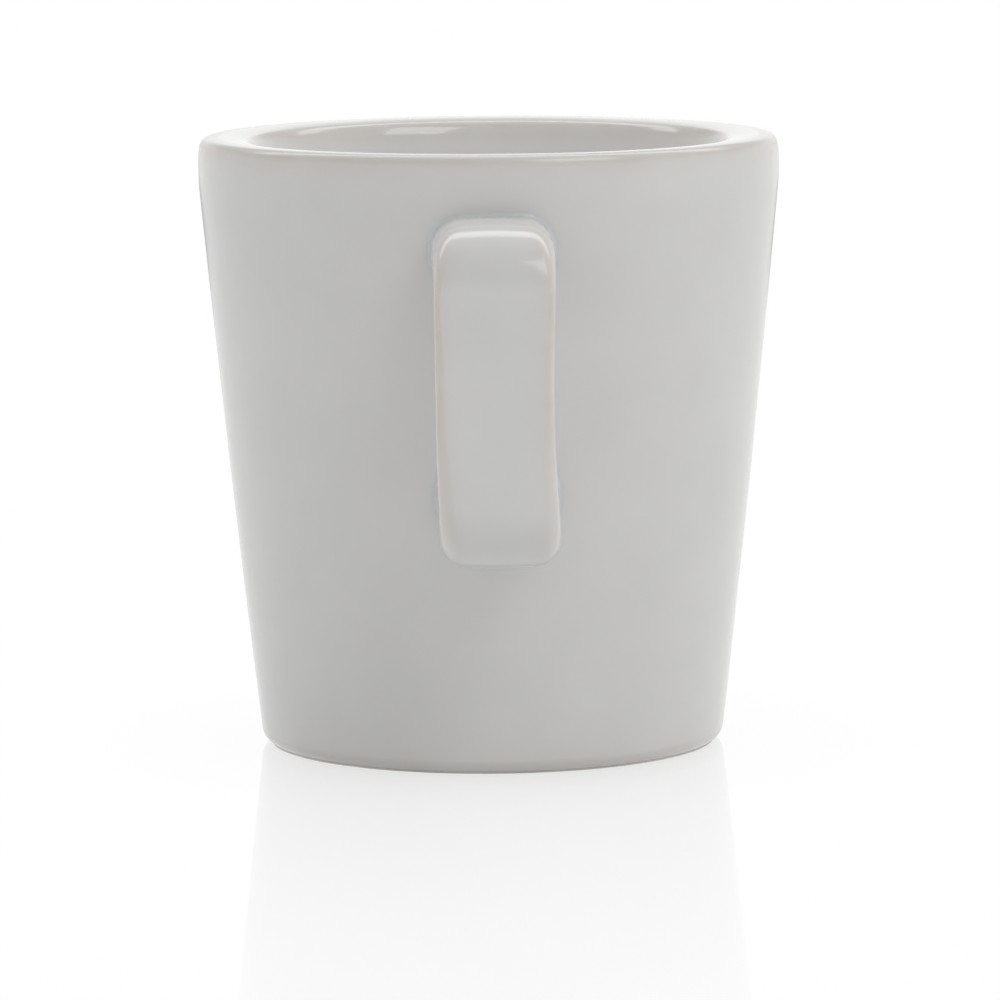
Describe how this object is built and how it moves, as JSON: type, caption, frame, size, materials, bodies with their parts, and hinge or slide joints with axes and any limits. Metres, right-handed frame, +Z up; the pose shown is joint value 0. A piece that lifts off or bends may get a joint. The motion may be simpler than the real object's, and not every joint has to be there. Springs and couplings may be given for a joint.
{
  "type": "coffee mug",
  "caption": "Conical white glazed coffee mug with a thick lip, a bare foot ring and a squared loop handle luted to the wall.",
  "frame": {"origin": "on the table, in the middle of the rectangle that the cup and its handle take up", "axes": "+Z up along the cup's axis, -Y from the cup toward the handle, +X to the right of someone facing the handle"},
  "size_m": [0.0906, 0.1178, 0.0952],
  "materials": {
    "clay": "fired white stoneware, bare and matt at the foot ring",
    "slip": "fired clay slip, under the glaze",
    "outside_glaze": "glossy white glaze, thinner and warmer on the edges",
    "inside_glaze": "glossy white liner glaze",
    "base_glaze": "glossy white glaze in the recess"
  },
  "bodies": {
    "root": {"mug_body": "clay", "handle": "clay", "upper_handle_joint": "slip", "lower_handle_joint": "slip", "outside_glaze": "outside_glaze", "inside_glaze": "inside_glaze", "base_glaze": "base_glaze"}
  },
  "joints": []
}
